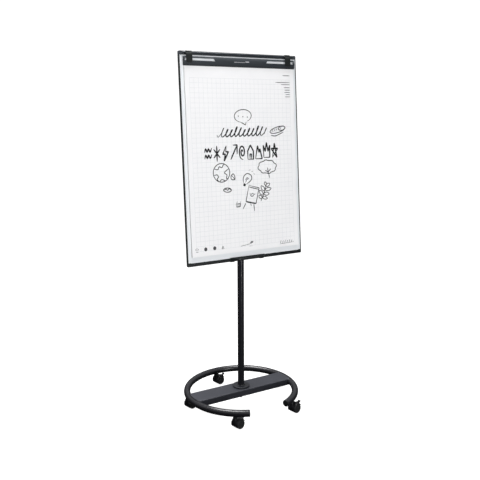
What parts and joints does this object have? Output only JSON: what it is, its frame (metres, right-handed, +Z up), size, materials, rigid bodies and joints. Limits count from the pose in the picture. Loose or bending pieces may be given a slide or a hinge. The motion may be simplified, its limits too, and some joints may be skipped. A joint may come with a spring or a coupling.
{
  "type": "flipchart easel",
  "caption": "Mobile flipchart easel: a tilting portrait board with a paper clamp and pen tray, on a telescoping column and an open ring base with castors.",
  "frame": {"origin": "on the floor, at the centre of the easel's overall box", "axes": "+X across the board to the reader's right, +Y away from the reader, +Z up"},
  "size_m": [0.7, 0.6292, 1.9171],
  "materials": {
    "black_steel": "satin",
    "beam_steel": "satin",
    "slate_profile": "satin",
    "black_profile": "satin",
    "bare_steel": "satin",
    "zinc": "satin",
    "enamelled_sheet": "gloss",
    "board_core": "matte",
    "moulded_black": "satin",
    "slate_moulding": "satin",
    "castor_nylon": "satin",
    "wheel_nylon": "satin",
    "card": "matte",
    "paper": "matte"
  },
  "bodies": {
    "base": {"base_ring": "black_steel", "ring_plug_left": "moulded_black", "ring_plug_right": "moulded_black", "cross_beam": "beam_steel", "column_flange": "black_steel", "column_bolt": "zinc", "column_tube": "black_steel", "column_collar": "moulded_black", "castor_1_socket": "moulded_black", "castor_2_socket": "moulded_black", "castor_3_socket": "moulded_black", "castor_4_socket": "moulded_black", "castor_5_socket": "moulded_black"},
    "height_knob": {"height_knob": "moulded_black"},
    "lift": {"inner_tube": "bare_steel", "inner_foot": "moulded_black", "tilt_head": "black_steel", "tilt_eye": "black_steel"},
    "board": {"tilt_bracket": "black_steel", "tilt_bolt": "zinc", "board_core": "board_core", "writing_surface": "enamelled_sheet", "left_profile": "black_profile", "right_profile": "slate_profile", "top_rail": "slate_profile", "hook_rail": "slate_profile", "bottom_rail": "black_profile", "top_left_corner": "slate_moulding", "top_right_corner": "slate_moulding", "bottom_left_corner": "moulded_black", "bottom_right_corner": "moulded_black", "backing_card": "card", "paper_pad": "paper", "pen_tray": "moulded_black", "tray_clip_left": "moulded_black", "tray_clip_right": "moulded_black"},
    "tilt_knob": {"tilt_knob": "moulded_black"},
    "clamp": {"clamp_bar": "slate_profile", "clamp_end_left": "moulded_black", "clamp_end_right": "moulded_black"},
    "arm_left": {"clamp_arm_left": "moulded_black"},
    "arm_right": {"clamp_arm_right": "moulded_black"},
    "castor_1": {"castor_1_hood": "castor_nylon"},
    "wheel_1": {"castor_1_wheel": "wheel_nylon"},
    "brake_1": {"castor_1_brake": "castor_nylon"},
    "castor_2": {"castor_2_hood": "castor_nylon"},
    "wheel_2": {"castor_2_wheel": "wheel_nylon"},
    "brake_2": {"castor_2_brake": "castor_nylon"},
    "castor_3": {"castor_3_hood": "castor_nylon"},
    "wheel_3": {"castor_3_wheel": "wheel_nylon"},
    "brake_3": {"castor_3_brake": "castor_nylon"},
    "castor_4": {"castor_4_hood": "castor_nylon"},
    "wheel_4": {"castor_4_wheel": "wheel_nylon"},
    "brake_4": {"castor_4_brake": "castor_nylon"},
    "castor_5": {"castor_5_hood": "castor_nylon"},
    "wheel_5": {"castor_5_wheel": "wheel_nylon"},
    "brake_5": {"castor_5_brake": "castor_nylon"}
  },
  "joints": [
    {"name": "height_slide", "type": "slide", "parent": "base", "child": "lift", "axis": [0, 0, 1], "range_m": [-0.2, 0.1]},
    {"name": "height_knob_turn", "type": "hinge", "parent": "base", "child": "height_knob", "pos_m": [0, -0.0192, 0.9218], "axis": [0, 1, 0], "range_deg": [-360, 0]},
    {"name": "board_tilt", "type": "hinge", "parent": "lift", "child": "board", "pos_m": [0, -0.0192, 1.2105], "axis": [-1, 0, 0], "range_deg": [-3.8, 26]},
    {"name": "tilt_knob_turn", "type": "hinge", "parent": "board", "child": "tilt_knob", "pos_m": [0.02, -0.0192, 1.2105], "axis": [1, 0, 0], "range_deg": [-360, 0]},
    {"name": "clamp_lift", "type": "hinge", "parent": "board", "child": "clamp", "pos_m": [0, -0.02396, 1.90835], "axis": [-1, 0, 0], "range_deg": [0, 55]},
    {"name": "arm_left_slide", "type": "slide", "parent": "clamp", "child": "arm_left", "axis": [1, 0, 0], "range_m": [-0.017, 0.137]},
    {"name": "arm_right_slide", "type": "slide", "parent": "clamp", "child": "arm_right", "axis": [1, 0, 0], "range_m": [-0.125, 0.029]},
    {"name": "castor_1_swivel", "type": "hinge", "parent": "base", "child": "castor_1", "pos_m": [0, 0.2808, 0.0575], "axis": [0, 0, 1], "continuous": true},
    {"name": "wheel_1_spin", "type": "hinge", "parent": "castor_1", "child": "wheel_1", "pos_m": [0.02152, 0.28537, 0.025], "axis": [-0.2079, 0.9781, 0], "continuous": true},
    {"name": "brake_1_press", "type": "hinge", "parent": "castor_1", "child": "brake_1", "pos_m": [0.0458, 0.29053, 0.04439], "axis": [-0.2079, 0.9781, 0], "range_deg": [0, 18]},
    {"name": "castor_2_swivel", "type": "hinge", "parent": "base", "child": "castor_2", "pos_m": [-0.28532, 0.07351, 0.0575], "axis": [0, 0, 1], "continuous": true},
    {"name": "wheel_2_spin", "type": "hinge", "parent": "castor_2", "child": "wheel_2", "pos_m": [-0.2638, 0.07808, 0.025], "axis": [-0.2079, 0.9781, 0], "continuous": true},
    {"name": "brake_2_press", "type": "hinge", "parent": "castor_2", "child": "brake_2", "pos_m": [-0.23952, 0.08324, 0.04439], "axis": [-0.2079, 0.9781, 0], "range_deg": [0, 18]},
    {"name": "castor_3_swivel", "type": "hinge", "parent": "base", "child": "castor_3", "pos_m": [-0.17634, -0.26191, 0.0575], "axis": [0, 0, 1], "continuous": true},
    {"name": "wheel_3_spin", "type": "hinge", "parent": "castor_3", "child": "wheel_3", "pos_m": [-0.15482, -0.25733, 0.025], "axis": [-0.2079, 0.9781, 0], "continuous": true},
    {"name": "brake_3_press", "type": "hinge", "parent": "castor_3", "child": "brake_3", "pos_m": [-0.13054, -0.25217, 0.04439], "axis": [-0.2079, 0.9781, 0], "range_deg": [0, 18]},
    {"name": "castor_4_swivel", "type": "hinge", "parent": "base", "child": "castor_4", "pos_m": [0.17634, -0.26191, 0.0575], "axis": [0, 0, 1], "continuous": true},
    {"name": "wheel_4_spin", "type": "hinge", "parent": "castor_4", "child": "wheel_4", "pos_m": [0.19785, -0.25733, 0.025], "axis": [-0.2079, 0.9781, 0], "continuous": true},
    {"name": "brake_4_press", "type": "hinge", "parent": "castor_4", "child": "brake_4", "pos_m": [0.22213, -0.25217, 0.04439], "axis": [-0.2079, 0.9781, 0], "range_deg": [0, 18]},
    {"name": "castor_5_swivel", "type": "hinge", "parent": "base", "child": "castor_5", "pos_m": [0.28532, 0.07351, 0.0575], "axis": [0, 0, 1], "continuous": true},
    {"name": "wheel_5_spin", "type": "hinge", "parent": "castor_5", "child": "wheel_5", "pos_m": [0.30684, 0.07808, 0.025], "axis": [-0.2079, 0.9781, 0], "continuous": true},
    {"name": "brake_5_press", "type": "hinge", "parent": "castor_5", "child": "brake_5", "pos_m": [0.33112, 0.08324, 0.04439], "axis": [-0.2079, 0.9781, 0], "range_deg": [0, 18]}
  ]
}
